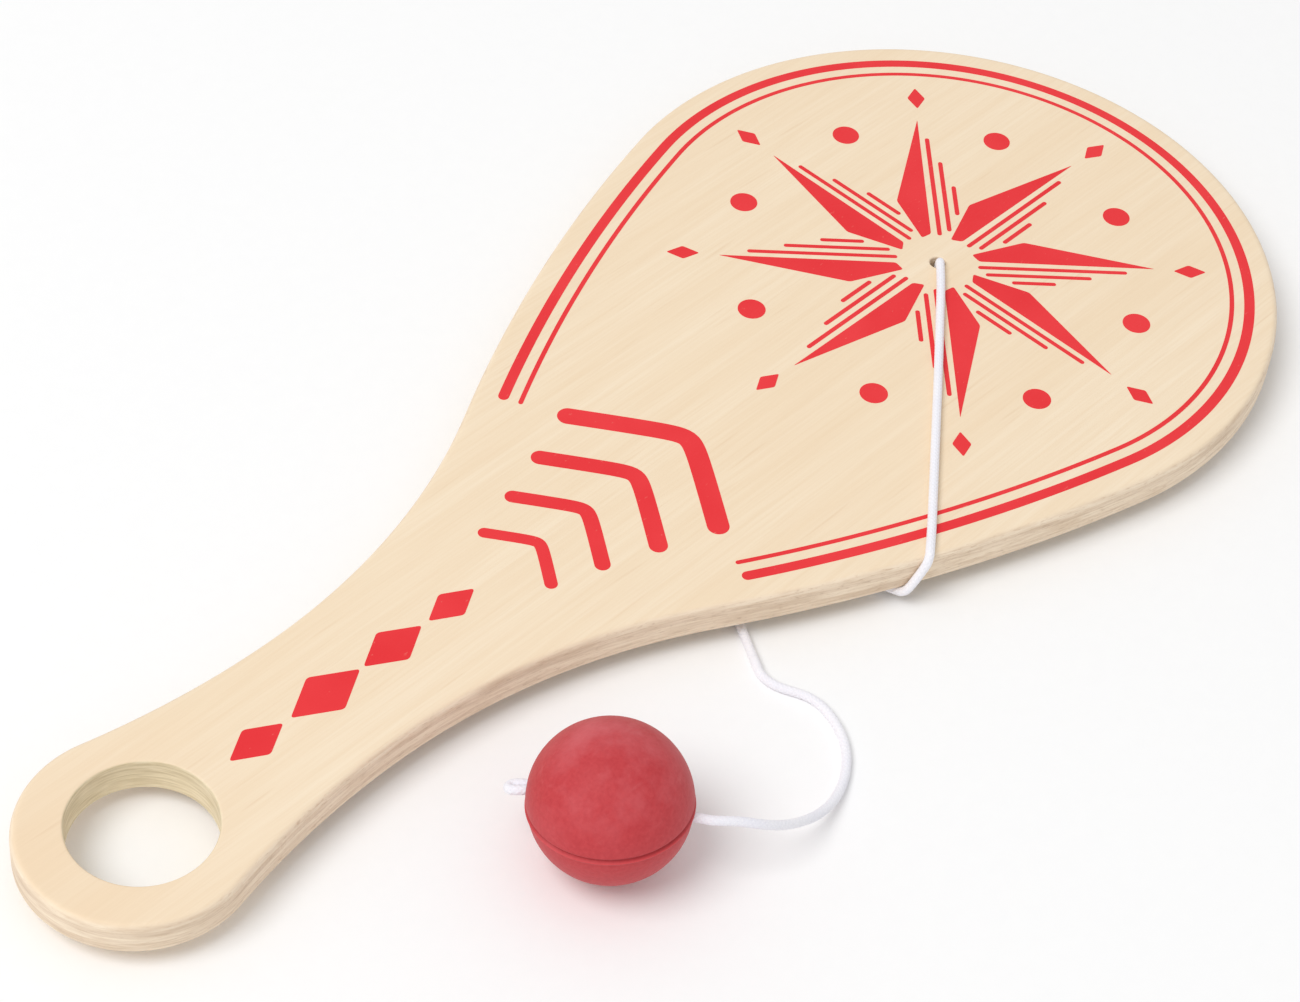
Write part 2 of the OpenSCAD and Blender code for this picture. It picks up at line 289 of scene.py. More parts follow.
# The ball's place comes before the cord, which runs into it
ball = {
    "radius": 13.0,
    "back": 135.5,  # from the cord hole towards the handle
    "aside": -47.2,
    "heading": math.radians(-57.0),  # of the bore
    "seamBelow": -0.17,  # less than nothing, so the seam is a little above the middle
    "seamTilt": math.radians(-7.9),
    "seamTurn": math.radians(47.5),  # from the bore
    "seamNear": math.radians(7.0),  # rows lie close together this far from the seam
    "rows": (46, 64, 90),  # below, at and above the seam
    "sides": 200,
    "groove": 0.34,
    "grooveHalf": 0.28,
    "step": 0.12,  # the lower cap is set in by this much
    "stepAt": 0.1,
    "stepSoft": 0.09,
    "lip": 0.24,
    "lipAt": 0.56,
    "lipHalf": 0.2,
    "wave": 0.03,
    "flat": 0.02,
    "bore": 0.85,
    "pocket": 1.95,
    "pocketDeep": 5.0,
    "drillReach": 20.0,
    "drillSides": 64,
}
ballMiddle = np.array([cordHoleX - ball["back"], ball["aside"], ball["radius"]])
boreWay = np.array([math.cos(ball["heading"]), math.sin(ball["heading"]), 0.0])
boreAside = np.array([-boreWay[1], boreWay[0], 0.0])

# The cord's route, through the same points as the CAD solid
cord = {
    "width": 1.6,
    "gap": 0.05,  # between the cord and the wood
    "strands": 12,
    "lay": 5.2,  # length of one strand's turn
    "relief": 0.1,
    "sides": 48,
    "step": 0.115,  # between rings
    "steep": 0.9,  # a start this upright takes its first side from x
    "curveSteps": 60,
    "runStep": 0.02,
    "thinBy": 5,
    "softStep": 0.1,
    "softHalf": 35,  # steps on either side that the moving average takes in
    "softFade": 4.0,
    "plainFade": 1.5,  # the braid dies away over this length
    "wrapBack": 56.7,  # from the cord hole to where the cord goes round the edge
    "exitBack": 80.7,  # from the cord hole to where it comes out again
    "exitAside": -21.9,
    "exitHeading": math.radians(240.0),
    "swingReach": 5.0,  # these four are lengths along the exit
    "midReach": 10.0,
    "liftAt": 14.5,
    "freeAt": 20.0,
    "bendHalf": 2.5,
    "stub": 0.3,  # straight cord in front of the bore
    "intoBall": (3.0, 1.5, 0.0, -4.0, -10.0, -16.0, -20.5),  # along the bore
    "pathEvery": 8,
}
floorLevel = cord["width"] / 2
clear = cord["width"] / 2 + cord["gap"]
faceLevel, backLevel = faceZ + clear, backZ - clear
wrapTurn = math.acos((cordHoleX - cord["wrapBack"] - side.middle[0]) / side.radius)
wrapOut = np.array([math.cos(wrapTurn), -math.sin(wrapTurn)])
wrapPoint = side.middle * mirror + side.radius * wrapOut
wrapAlong = np.array([wrapOut[1], -wrapOut[0]])


def byEdge(out, along, height):
    # A place given by its way out from and along the paddle's edge where the cord goes round it
    return [*(wrapPoint + out * wrapOut + along * wrapAlong), height]


def fromHole(*points):
    # Places measured from the cord hole
    return [[cordHoleX + x, y, z] for x, y, z in points]


def curveThrough(points, step):
    # Uniform Catmull-Rom through the points, then stations at even distances along it
    points = np.asarray(points, float)
    held = np.vstack([2 * points[0] - points[1], points, 2 * points[-1] - points[-2]])
    before, start, end, after = held[:-3, None], held[1:-2, None], held[2:-1, None], held[3:, None]
    t = np.linspace(0.0, 1.0, cord["curveSteps"], endpoint=False)[None, :, None]
    square = 2 * before - 5 * start + 4 * end - after
    cube = 3 * start - before - 3 * end + after
    run = 0.5 * (2 * start + (end - before) * t + square * t**2 + cube * t**3)
    run = np.vstack([run.reshape(-1, 3), points[-1:]])
    gone = np.concatenate([[0.0], np.cumsum(np.linalg.norm(np.diff(run, axis=0), axis=1))])
    even = np.linspace(0.0, gone[-1], max(3, int(round(gone[-1] / step)) + 1))
    return np.column_stack([np.interp(even, gone, run[:, axis]) for axis in range(3)]), even


def nearest(line, place):
    # Index of the station that lies nearest to a place
    return int(np.argmin(np.linalg.norm(line - place, axis=1)))


def smoothed(route, firstPin, lastPin):
    # A moving average along the line, fading out towards the two pinned points
    line, gone = curveThrough(route, cord["softStep"])
    half = cord["softHalf"]
    window = np.hanning(2 * half + 1)
    window /= window.sum()
    padded = np.pad(line, ((half, half), (0, 0)), mode="edge")
    soft = np.column_stack([np.convolve(padded[:, axis], window, "valid") for axis in range(3)])
    first, last = gone[nearest(line, firstPin)], gone[nearest(line, lastPin)]
    share = np.clip(np.minimum(gone - first, last - gone) / cord["softFade"], 0.0, 1.0)
    share = (share * share * (3 - 2 * share))[:, None]
    return line + (soft - line) * share


def cordTube(route, already, startWay=None, endWay=None, startSide=None, plain=None):
    # A round section carried along the route, with half of the strands wound each way. The radius is half
    # the width less relief * (1 - weave) / 2, and weave is the higher of the two cosines of
    # strands / 2 * (angle + turn) and strands / 2 * (angle - turn), with turn growing along the cord
    centre, gone = curveThrough(route, cord["step"])
    way = unit(np.gradient(centre, axis=0))
    if startWay is not None:
        way[0] = startWay
    if endWay is not None:
        way[-1] = endWay
    first = upward if abs(way[0][2]) < cord["steep"] else np.array([1.0, 0.0, 0.0])
    across = [unit(first - way[0] * (first @ way[0])) if startSide is None else startSide]
    for heading in way[1:]:
        across.append(unit(across[-1] - heading * (across[-1] @ heading)))
    across = np.array(across)
    over = np.cross(way, across)
    angle = np.linspace(0.0, 2 * math.pi, cord["sides"], endpoint=False)
    turn = 2 * math.pi * (already + gone)[:, None] / cord["lay"]
    eachWay = cord["strands"] / 2
    weave = np.maximum(np.cos(eachWay * (angle + turn)), np.cos(eachWay * (angle - turn)))
    if plain is not None:
        # No strands where the run stretches, between two lengths from its start
        outside = np.maximum(plain[0] - gone, gone - plain[1])[:, None]
        weave = 1 - (1 - weave) * np.clip(outside / cord["plainFade"], 0.0, 1.0)
    radius = cord["width"] / 2 - cord["relief"] * (1 - weave) / 2
    places = (
        centre[:, None]
        + (radius * np.cos(angle))[:, :, None] * across[:, None]
        + (radius * np.sin(angle))[:, :, None] * over[:, None]
    )
    grids = [(places.reshape(-1, 3), gridFaces(len(centre), cord["sides"], True))]
    for row, middle in ((places[0], centre[0]), (places[-1], centre[-1])):
        inner = np.repeat(middle[None], cord["sides"], axis=0)
        grids.append((np.vstack([row, inner]), gridFaces(2, cord["sides"], True)))
    return grids, centre, already + gone[-1], across[-1]


elasticLook = {
    "thread": (tint(242, 241, 249), tint(253, 252, 254)),
    "worn": tint(230, 229, 245),
    "wornShare": 0.35,
    "fuzz": 5200.0,
    "patches": 95.0,
    "bump": 0.03 * mm,
    "sheen": {"Sheen Weight": 0.25, "Sheen Roughness": 0.5},
}


def elasticMaterial():
    # White threads with a fine fuzz, greyer in worn patches
    kit = newMaterial("braidedElastic")
    fuzz = kit.noise((1, 1, 1), elasticLook["fuzz"], 2.0)
    worn = kit.ramp(kit.noise((1, 1, 1), elasticLook["patches"], 3.0), 0.35, 0.75)
    colour = kit.blendColour(kit.ramp(fuzz, 0.3, 0.7), *elasticLook["thread"])
    worn = kit.maths("MULTIPLY", worn, elasticLook["wornShare"])
    colour = kit.blendColour(worn, colour, elasticLook["worn"])
    rough = kit.ramp(fuzz, 0.2, 0.8, 0.55, 0.8)
    return kit.finishWith(colour, rough, fuzz, elasticLook["bump"], **elasticLook["sheen"])


elastic = elasticMaterial()
exitStart = np.array([cordHoleX - cord["exitBack"], cord["exitAside"], floorLevel])
exitWay = np.array([math.cos(cord["exitHeading"]), math.sin(cord["exitHeading"]), 0.0])
bend = cord["bendHalf"] * exitWay
swingEnd = exitStart + cord["swingReach"] * exitWay
midPlace = exitStart + cord["midReach"] * exitWay
liftPlace = exitStart + cord["liftAt"] * exitWay
liftEnd = liftPlace + bend
leaderEnd = exitStart + cord["freeAt"] * exitWay

sanded = paddle["sanded"]
wrapBend = (sanded + clear) * math.sin(math.pi / 4) - sanded
bladeRoute = fromHole(
    (0, -0.4, backZ), (0, -0.4, backZ + 3), (0, -0.4, faceZ - 0.6), (-0.4, -0.75, faceZ + 0.75),
    (-1.8, -2, faceLevel), (-6, -5.6, faceLevel), (-14, -12, faceLevel), (-22, -18.4, faceLevel),
    (-30, -24.7, faceLevel), (-38, -31, faceLevel), (-46, -37.3, faceLevel), (-52, -42, faceLevel),
) + [
    byEdge(-sanded, 0, faceLevel), byEdge(wrapBend, 0.9, faceZ + wrapBend),
    byEdge(clear, 1.8, faceZ - sanded), byEdge(clear, 4, backZ + sanded),
    byEdge(wrapBend, 4.9, backZ - wrapBend), byEdge(-sanded, 5.8, backLevel),
]
turnTop = [-73.8, -17.9, floorLevel]  # where the cord turns back under the blade
underRoute = fromHole(
    (-62.6, -38, floorLevel + 0.7), (-64.2, -32, floorLevel + 0.1), (-65.8, -26, floorLevel + 0.02),
    (-68.1, -20.2, floorLevel), turnTop, (-77.8, -19, floorLevel),
)
wholeRun = curveThrough(bladeRoute + underRoute + [exitStart, swingEnd, midPlace], cord["runStep"])[0]
turnAt = nearest(wholeRun, fromHole(turnTop)[0])
swingAt = nearest(wholeRun, swingEnd)
turnWay = unit(wholeRun[turnAt + 1] - wholeRun[turnAt - 1])


def thinned(first, last):
    # Stations at about every fifth place, with both ends kept so that neighbouring pieces meet
    count = (last - first) // cord["thinBy"] + 1
    return wholeRun[np.linspace(first, last, count).round().astype(int)]


grids, bladeLine, gone, lastSide = cordTube(thinned(0, turnAt), 0.0, endWay=turnWay)
cordOnBlade = newPiece("cordOnBlade", grids, elastic)
underRun = np.vstack([thinned(turnAt, swingAt)[:-1], swingEnd])
grids, underLine, gone, lastSide = cordTube(underRun, gone, turnWay, exitWay, lastSide)
cordUnder = newPiece("cordUnder", grids, elastic)
rootLength = float(np.linalg.norm(liftEnd - swingEnd))
rootRun = [swingEnd, midPlace, liftPlace, liftEnd]
grids, rootLine, gone, lastSide = cordTube(
    rootRun, gone, exitWay, exitWay, lastSide, (rootLength, rootLength)
)
cordRoot = newPiece("cordRoot", grids, elastic)

# The loose run keeps to a straight line up to the leader's end, then follows its own curve.
# Each point has its way from the hole and the share of the climb from the floor to the ball's middle
freePoints = [
    (-91.1, -41.3, 0), (-90.8, -43.6, 0), (-89.6, -45.9, 0), (-88.6, -48.6, 0), (-88.7, -51.8, 0),
    (-89.9, -55.4, 0), (-91.8, -58.7, 0), (-94.4, -61.4, 0.002), (-98, -63.8, 0.01),
    (-102.4, -65.6, 0.08), (-107.4, -66.6, 0.22), (-112.3, -66.8, 0.42), (-116.8, -66.3, 0.63),
    (-120.6, -65, 0.82), (-123.8, -62.8, 0.95),
]
ballStart = ballMiddle + (ball["radius"] + cord["stub"]) * boreWay
climb = ballMiddle[2] - floorLevel
freeRoute = (
    [liftEnd, liftEnd + exitWay, liftEnd + 2 * exitWay, leaderEnd]
    + fromHole(*[(x, y, floorLevel + share * climb) for x, y, share in freePoints])
    + [ballStart + ahead * boreWay for ahead in cord["intoBall"]]
)
freeRun = smoothed(freeRoute, leaderEnd, ballStart)
stretch = (0.0, float(np.linalg.norm(leaderEnd - liftEnd)))
grids, freeLine = cordTube(freeRun, gone, exitWay, -boreWay, lastSide, stretch)[:2]
cordFree = newPiece("cordFree", grids, elastic)
print("cord runs laid", len(bladeLine), len(underLine), len(rootLine), len(freeLine))

# The folded end that stands out of the ball: ways along and across the bore from the ball's middle
endFold = {"lean": math.radians(-20.0), "sag": 1.3}
alongFold, asideFold = np.array([
    (-8.4, 0.86), (-10.5, 0.84), (-12.6, 0.85), (-14.0, 0.99), (-15.1, 0.92), (-15.72, 0.4),
    (-15.72, -0.4), (-15.1, -0.92), (-14.0, -0.99), (-12.6, -0.85), (-10.5, -0.84), (-8.4, -0.86),
]).T[:, :, None]
acrossFold = math.cos(endFold["lean"]) * boreAside + math.sin(endFold["lean"]) * upward
foldShare = (alongFold - alongFold[0]) / (alongFold.min() - alongFold[0])
foldDrop = endFold["sag"] * foldShare**2 * upward
foldRoute = ballMiddle + alongFold * boreWay + asideFold * acrossFold - foldDrop
endLoop = newPiece("endLoop", cordTube(foldRoute, 0.0)[0], elastic)

# The knot behind the blade: one round turn, then the tail drawn under it
knot = {"ring": 1.85, "ringZ": 2.36, "turns": np.radians(np.arange(30, 331, 30))}
knotRoute = fromHole(
    (0, -0.4, backZ), (0.1, -0.35, 2.75), (0.75, 0.2, 2.42),
    *[(knot["ring"] * math.cos(t), knot["ring"] * math.sin(t), knot["ringZ"]) for t in knot["turns"]],
    (1.95, -0.1, 2.0), (2.1, 0.75, 1.2), (1.35, 1.75, 0.86), (0.1, 0.35, 0.83), (-1.2, -1.5, 0.83),
    (-2.3, -3.4, 0.82), (-3.1, -4.6, 0.82),
)
stopKnot = newPiece("stopKnot", cordTube(knotRoute, 0.0)[0], elastic)
print("knot and end loop tied")

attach(cordOnBlade, "paddle")
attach(stopKnot, "paddle")
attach(endLoop, "tether")
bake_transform(cordUnder)
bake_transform(cordRoot)
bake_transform(cordFree)
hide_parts("cord_on_blade")
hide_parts("cord_on_blade")
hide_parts("cord_under_edge", "cord_leader")
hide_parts("cord_free_run", "cord_in_ball")
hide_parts("end_loop")
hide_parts("stop_knot")


def lengthOf(line):
    # Sum of the distances between neighbouring points
    return float(np.linalg.norm(np.diff(line, axis=0), axis=1).sum())


bladeLine, freeLine = bladeLine * mm, freeLine * mm
print("cords declared", round(lengthOf(bladeLine), 4), round(lengthOf(freeLine), 4))

# Inner ends of the face's columns: round the finger hole, along the middle, round the cord hole
closing = paddle["closing"]
waistColumn = len(arcs[0][0]) + len(arcs[1][0])
holeEnd = waistColumn + closing
cordStart = int(np.argmin(np.abs(halfEdge[:, 0] - paddle["cordSideX"])))
aboutHole = halfEdge[: waistColumn + 1] - fingerHole.middle
aboutCord = halfEdge[cordStart + closing :] - cordHole.middle
holeTurn = np.arctan2(aboutHole[:, 1], aboutHole[:, 0])
cordTurn = np.arctan2(aboutCord[:, 1], aboutCord[:, 0])
holeTurn = np.concatenate([holeTurn, np.linspace(holeTurn[-1], 0.0, closing + 1)[1:]])
cordTurn = np.concatenate([np.linspace(math.pi, cordTurn[0], closing + 1)[:-1], cordTurn])
holeOut = np.column_stack([np.cos(holeTurn), np.sin(holeTurn)])
cordOut = np.column_stack([np.cos(cordTurn), np.sin(cordTurn)])
firstX = fingerHole.middle[0] + fingerHole.radius + paddle["rimGap"]
lastX = cordHoleX - cordHole.radius - paddle["rimGap"]
middleEdge = halfEdge[holeEnd + 1 : cordStart, 0]
middleX = np.interp(middleEdge, [halfEdge[holeEnd, 0], halfEdge[cordStart, 0]], [firstX, lastX])
middleLine = np.column_stack([middleX, np.zeros(len(middleX))])


def innerRun(away):
    # The columns' inner ends, this far outside the walls of the two holes
    return np.vstack([
        fingerHole.middle + (fingerHole.radius + away) * holeOut,
        middleLine,
        cordHole.middle + (cordHole.radius + away) * cordOut,
    ])


def plySheet(top, bottom, topRound, bottomRound, holeTop, holeBottom):
    # Outer wall and hole walls from a rounded section, then the two faces between them.
    # A rounding is a quarter circle: inset by radius * (1 - sine), dropped by radius * (1 - cosine)
    quarter = np.linspace(0.0, math.pi / 2, paddle["edgeSteps"])
    nick, lap = paddle["seamNick"], paddle["edgeLap"]

    def section(upper, lower):
        ends = np.array([top - upper, bottom + lower])
        inner = ends + np.array([-1.0, 1.0]) * paddle["wallShare"] * (ends[0] - ends[1])
        upperInset, upperDrop = upper * (1 - np.sin(quarter)), upper * (1 - np.cos(quarter))
        lowerInset, lowerLift = lower * (1 - np.cos(quarter)), lower * (1 - np.sin(quarter))
        inset = np.concatenate([[upper + lap], upperInset, [0.0, 0.0], lowerInset, [lower + lap]])
        height = np.concatenate([[top], top - upperDrop, inner, bottom + lowerLift, [bottom]])
        return inset, height

    def wall(edge, out, inset, height):
        rows = [atHeight(edge + away * out, level) for away, level in zip(inset, height)]
        return np.vstack(rows), gridFaces(len(rows), len(edge), True)

    outerInset, outerHeight = section(topRound or nick, bottomRound or nick)
    holeInset, holeHeight = section(holeTop or nick, holeBottom or nick)
    grids = [wall(loopEdge, -loopOut, outerInset, outerHeight)]
    for hole, out in ((fingerHole, holeOut), (cordHole, cordOut)):
        whole = np.vstack([out, out[-2:0:-1] * mirror])
        grids.append(wall(hole.middle + hole.radius * whole, whole, holeInset, holeHeight))
    for level, end in ((top, 0), (bottom, -1)):
        inner, outer = innerRun(holeInset[end]), halfEdge - outerInset[end] * halfOut
        for half in (np.ones(2), mirror):
            shares = np.linspace(0, 1, paddle["faceRows"])
            rows = [atHeight((inner + (outer - inner) * share) * half, level) for share in shares]
            grids.append((np.vstack(rows), gridFaces(len(rows), len(halfEdge), False)))
    return grids


alongGrain = (24.0, 620.0)
veneerLook = {
    "grain": alongGrain,
    "pale": tint(249, 231, 204),
    "warm": tint(245, 223, 192),
    "line": tint(239, 214, 181),
    "dark": tint(226, 194, 158),
    "ending": tint(242, 214, 180),
    "edgePale": tint(248, 230, 205),
    "edgeDark": tint(230, 207, 180),
    "edgeBrown": tint(199, 169, 140),
    "boredPale": tint(245, 232, 200),
    "boredDark": tint(214, 199, 160),
    "fibre": 0.42,
    "streak": (170.0, 170.0, 2300.0),
    "fleck": (620.0, 620.0, 3300.0),
    "blot": (38.0, 38.0, 300.0),
    "endingSpan": (-132 * mm, -92 * mm),  # along the paddle, where the handle's end is warmer
    "fleckSpan": (-134 * mm, -104 * mm),  # along the paddle, where the flecks come in
    "boredSpan": (13.5 * mm, 14.5 * mm),  # from the finger hole's middle
    "bump": 0.04 * mm,
    "shine": {"Specular IOR Level": 0.35},
}
crossLook = {
    **veneerLook,
    "grain": alongGrain[::-1],
    "edgePale": tint(243, 223, 198),
    "edgeDark": tint(222, 198, 170),
    "edgeBrown": tint(190, 160, 130),
}
coreLook = {
    **veneerLook,
    "edgePale": tint(249, 231, 206),
    "edgeDark": tint(231, 208, 181),
    "edgeBrown": tint(202, 173, 143),
}
holeMiddle = (fingerHole.middle[0] * mm, 0.0, (backZ + faceZ) / 2 * mm)


def woodMaterial(name, look):
    # Fibres are noise stretched along the grain; on the walls the noise is stretched along the ply
    kit = newMaterial(name)
    ramp, blendColour = kit.ramp, kit.blendColour
    along, across = look["grain"]
    cloud = kit.noise((along / 5, across / 5, 20.0), 1.0, 2.0)
    fibre = kit.noise((along, across, across), 1.0, 4.0, 0.6)
    fine = kit.noise((along * 3, across * 4, across * 4), 1.0, 2.0)
    pore = kit.noise((along * 2.2, across * 1.6, across), 1.0, 1.0)
    streak = kit.noise(look["streak"], 1.0, 3.0, 0.6)
    fleck = kit.noise(look["fleck"], 1.0, 3.0, 0.6)
    blot = kit.noise(look["blot"], 1.0, 2.0)
    wall = ramp(kit.maths("ABSOLUTE", kit.upright()), 0.62, 0.95, 1.0, 0.0)
    alongPaddle = kit.make("ShaderNodeSeparateXYZ", {"Vector": kit.where}).outputs[0]
    colour = blendColour(ramp(cloud, 0.3, 0.7), look["pale"], look["warm"])
    ending = ramp(alongPaddle, *look["endingSpan"], 0.7, 0.0)
    ending = kit.maths("MULTIPLY", ending, ramp(cloud, 0.2, 0.7, 0.5, 1.0))
    colour = blendColour(ending, colour, look["ending"])
    colour = blendColour(ramp(fibre, 0.42, 0.72, 0.0, look["fibre"]), colour, look["line"])
    colour = blendColour(ramp(fine, 0.35, 0.7, 0.0, 0.35), colour, look["line"])
    colour = blendColour(ramp(pore, 0.68, 0.8, 0.0, 0.3), colour, look["dark"])
    edge = blendColour(ramp(streak, 0.38, 0.68), look["edgePale"], look["edgeDark"])
    edge = blendColour(ramp(blot, 0.56, 0.74, 0.0, 0.45), edge, look["edgeBrown"])
    flecks = ramp(alongPaddle, *look["fleckSpan"], 0.35, 1.0)
    flecks = kit.maths("MULTIPLY", ramp(fleck, 0.56, 0.72, 0.0, 0.6), flecks)
    edge = blendColour(flecks, edge, look["edgeBrown"])
    bored = ramp(kit.fromPoint("DISTANCE", holeMiddle), *look["boredSpan"], 0.75, 0.0)
    boredWood = blendColour(ramp(streak, 0.36, 0.66), look["boredPale"], look["boredDark"])
    colour = blendColour(wall, colour, blendColour(bored, edge, boredWood))
    rough = ramp(fibre, 0.25, 0.75, 0.5, 0.68)
    wallFlecks = kit.maths("MULTIPLY", kit.maths("MULTIPLY", fleck, wall), 0.8)
    return kit.finishWith(colour, rough, kit.maths("ADD", fine, wallFlecks), look["bump"], **look["shine"])


veneer = woodMaterial("paleVeneer", veneerLook)
crossWood = woodMaterial("crossGrainPly", crossLook)
coreWood = woodMaterial("corePly", coreLook)
levels = np.linspace(backZ, faceZ, paddle["plies"] + 1)
rimRound = paddle["holeRound"]
plies = (
    ("backVeneer", "back_veneer", veneer, "face_wood", (0, sanded, 0, rimRound)),
    ("lowerCrossband", "lower_crossband", crossWood, "inner_wood", (0, 0, 0, 0)),
    ("corePly", "core_ply", coreWood, "inner_wood", (0, 0, 0, 0)),
    ("upperCrossband", "upper_crossband", crossWood, "inner_wood", (0, 0, 0, 0)),
    ("faceVeneer", "face_veneer", veneer, "face_wood", (sanded, 0, rimRound, 0)),
)
for (name, node, wood, slot, rounds), bottom, top in zip(plies, levels[:-1], levels[1:]):
    sheet = newPiece(name, plySheet(top, bottom, *rounds), wood)
    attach(sheet, "paddle")
    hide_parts(node)
print("plies cut")

# The ball: a sphere about the seam's axis with a groove, a lip and a slightly set-in lower cap
tilt = Matrix.Rotation(ball["heading"] + ball["seamTurn"], 3, "Z") @ Matrix.Rotation(ball["seamTilt"], 3, "X")
seamAxes = np.array(tilt)


def ballGrid():
    # Height angles from pole to pole, close together at the seam, and turns about the seam's axis. The radius
    # has a soft step down below the seam, a bell-shaped groove and lip, and a slight waviness
    seamRise = -math.asin(ball["seamBelow"] / ball["radius"])
    lowRow, highRow = seamRise - ball["seamNear"], seamRise + ball["seamNear"]
    lowCount, seamCount, highCount = ball["rows"]
    rise = np.concatenate([
        np.linspace(-math.pi / 2, lowRow, lowCount)[:-1],
        np.linspace(lowRow, highRow, seamCount)[:-1],
        np.linspace(highRow, math.pi / 2, highCount),
    ])[:, None]
    turn = np.linspace(0.0, 2 * math.pi, ball["sides"], endpoint=False)[None, :]
    below = (seamRise - rise) * ball["radius"]
    radius = (
        ball["radius"]
        - ball["step"] / (1 + np.exp(-(below - ball["stepAt"]) / ball["stepSoft"]))
        - ball["groove"] * np.exp(-((below / ball["grooveHalf"]) ** 2))
        + ball["lip"] * np.exp(-(((below - ball["lipAt"]) / ball["lipHalf"]) ** 2))
        + ball["wave"] * np.sin(3 * turn + 1.0) * np.cos(rise) ** 2 * np.sin(2 * rise)
        - ball["flat"] * (1 + np.cos(2 * turn)) * np.cos(rise) ** 2
    )
    level = radius * np.cos(rise)
    places = np.stack([level * np.cos(turn), level * np.sin(turn), radius * np.sin(rise)], axis=-1)
    return places.reshape(-1, 3) @ seamAxes.T + ballMiddle, gridFaces(len(rise), ball["sides"], True)


rubberLook = {
    "red": (tint(188, 56, 62), tint(198, 65, 70)),
    "dust": tint(216, 112, 117),
    "dustShare": 0.6,
    "scuff": tint(214, 120, 122),
    # painted highlight: a lighter red on the ridge below the seam, where the lip's top edge catches the light
    "ridgeHighlight": tint(222, 84, 88),
    "ridgeHighlightSpan": (0.08 * mm, 0.3 * mm),
    # painted shade: a darker red in the seam's groove, where shadow falls
    "grooveShade": tint(158, 38, 45),
    "grooveShadeSpan": (0.08 * mm, 0.5 * mm),
    "bump": 0.05 * mm,
    "shine": {"Sheen Weight": 0.06, "Sheen Roughness": 0.5, "Specular IOR Level": 0.25},
}


def rubberMaterial():
    # Matt red, dusty where it faces up, with painted shade in the seam's groove and a painted highlight on
    # the ridge below it
    kit = newMaterial("dustyRubber")
    ramp, maths, blendColour = kit.ramp, kit.maths, kit.blendColour
    cloud = kit.noise((1, 1, 1), 110.0, 4.0, 0.6)
    speck = kit.noise((1, 1, 1), 1500.0, 2.0)
    scuff = kit.noise((60, 420, 420), 1.0, 3.0)
    dusty = maths("MULTIPLY", ramp(cloud, 0.42, 0.7), ramp(kit.upright(), 0.1, 0.95, 0.15, 1.0))
    colour = blendColour(ramp(speck, 0.3, 0.75), *rubberLook["red"])
    colour = blendColour(maths("MULTIPLY", dusty, rubberLook["dustShare"]), colour, rubberLook["dust"])
    colour = blendColour(ramp(scuff, 0.64, 0.78, 0.0, 0.22), colour, rubberLook["scuff"])
    seamLevel = float(seamAxes[:, 2] @ ballMiddle) - ball["seamBelow"]
    alongAxis = kit.fromPoint("DOT_PRODUCT", seamAxes[:, 2].tolist())
    fromSeam = maths("ABSOLUTE", maths("SUBTRACT", alongAxis, seamLevel * mm))
    fromRidge = maths("ABSOLUTE", maths("SUBTRACT", alongAxis, (seamLevel - ball["lipAt"]) * mm))
    # painted highlight along the ridge below the seam
    colour = blendColour(ramp(fromRidge, *rubberLook["ridgeHighlightSpan"], 0.45, 0.0), colour, rubberLook["ridgeHighlight"])
    # painted shade in the seam's groove
    colour = blendColour(ramp(fromSeam, *rubberLook["grooveShadeSpan"], 0.5, 0.0), colour, rubberLook["grooveShade"])
    rough = ramp(cloud, 0.3, 0.7, 0.5, 0.68)
    return kit.finishWith(colour, rough, speck, rubberLook["bump"], **rubberLook["shine"])


def cutHole(piece, start, end, radius):
    # A straight round hole between two points, taken out by an applied Boolean
    start, end = Vector(start * mm), Vector(end * mm)
    bpy.ops.mesh.primitive_cylinder_add(
        vertices=ball["drillSides"], radius=radius * mm, depth=(end - start).length
    )
    drill = bpy.context.object
    way = (end - start).to_track_quat("Z", "X")
    drill.matrix_world = Matrix.Translation((start + end) / 2) @ way.to_matrix().to_4x4()
    cut = piece.modifiers.new("hole", "BOOLEAN")
    cut.operation = "DIFFERENCE"
    cut.solver = "EXACT"
    cut.object = drill
    bpy.context.view_layer.objects.active = piece
    bpy.ops.object.modifier_apply(modifier="hole")
    bpy.data.objects.remove(drill, do_unlink=True)


rubberBall = newPiece("rubberBall", [ballGrid()], rubberMaterial(), weld=2e-6)
farBack = ballMiddle - ball["drillReach"] * boreWay
farAhead = ballMiddle + ball["drillReach"] * boreWay
pocketEnd = ballMiddle - (ball["radius"] - ball["pocketDeep"]) * boreWay
cutHole(rubberBall, farBack, farAhead, ball["bore"])
cutHole(rubberBall, farBack, pocketEnd, ball["pocket"])
rubberBall.data.polygons.foreach_set("use_smooth", np.ones(len(rubberBall.data.polygons), bool))
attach(rubberBall, "ball")
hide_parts("ball")
print("ball turned")

